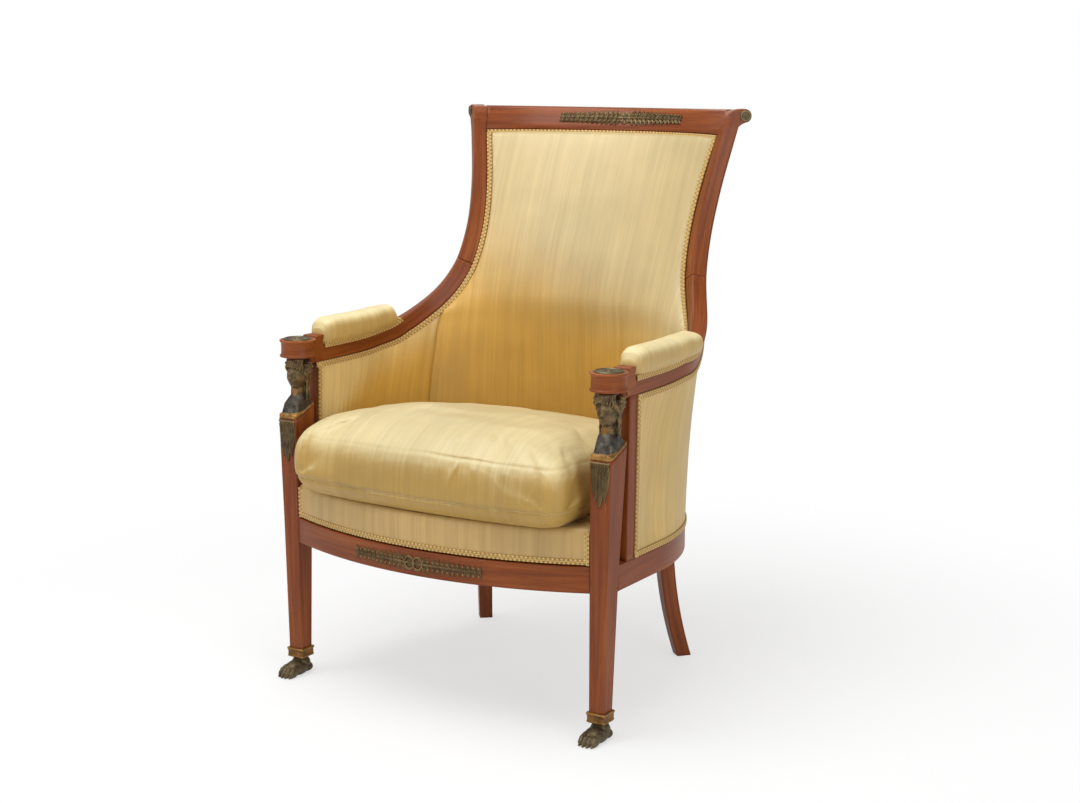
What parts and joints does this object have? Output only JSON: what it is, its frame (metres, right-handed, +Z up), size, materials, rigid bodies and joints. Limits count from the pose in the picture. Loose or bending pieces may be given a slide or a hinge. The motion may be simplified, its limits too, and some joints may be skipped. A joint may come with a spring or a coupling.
{
  "type": "bergere chair",
  "caption": "Upholstered gondola armchair with a show-wood frame, wrapped back, loose box cushion, bronze busts and paw feet.",
  "frame": {"origin": "on the floor, below the middle of the chair's overall width and depth", "axes": "+Z up; the chair faces -Y; +X is the right-hand side of the picture, the sitter's left"},
  "size_m": [0.695, 0.7478, 1],
  "materials": {
    "mahogany": "polished",
    "beech": "raw",
    "silk": "slubbed silk",
    "gimp": "braided",
    "bronze": "dark patina",
    "gilt": "worn gilding",
    "jute": "woven webbing"
  },
  "bodies": {
    "frame": {"front_leg_right": "mahogany", "front_leg_left": "mahogany", "side_rail_right": "mahogany", "side_rail_left": "mahogany", "front_rail": "mahogany", "rear_rail": "mahogany", "arm_right": "mahogany", "arm_left": "mahogany", "back_post_right": "mahogany", "back_post_left": "mahogany", "arm_post_right": "mahogany", "arm_post_left": "mahogany", "crest_rail": "mahogany", "back_lower_rail": "beech", "corner_block_front_right": "beech", "corner_block_front_left": "beech", "corner_block_rear_right": "beech", "corner_block_rear_left": "beech", "seat_webbing": "jute", "seat_platform": "silk", "inside_back_pad": "silk", "inside_arm_pad_right": "silk", "inside_arm_pad_left": "silk", "outside_arm_panel_right": "silk", "outside_arm_panel_left": "silk", "outside_back_panel": "silk", "arm_pad_right": "silk", "arm_pad_left": "silk", "gimp_inside": "gimp", "gimp_outside_right": "gimp", "gimp_outside_left": "gimp", "gimp_front_border": "gimp", "gimp_arm_pad_right": "gimp", "gimp_arm_pad_left": "gimp", "foot_collar_right": "gilt", "foot_collar_left": "gilt", "paw_foot_right": "bronze", "paw_foot_left": "bronze", "drum_rosette_right": "bronze", "drum_rosette_left": "bronze", "crest_mount": "bronze", "rail_mount": "bronze", "palmette_right": "bronze", "palmette_left": "bronze", "bust_right": "bronze", "bust_left": "bronze"},
    "cushion": {"seat_cushion": "silk"}
  },
  "joints": [
    {"name": "cushion_slide", "type": "slide", "parent": "frame", "child": "cushion", "axis": [0, -1, 0], "range_m": [0, 0.56]}
  ]
}
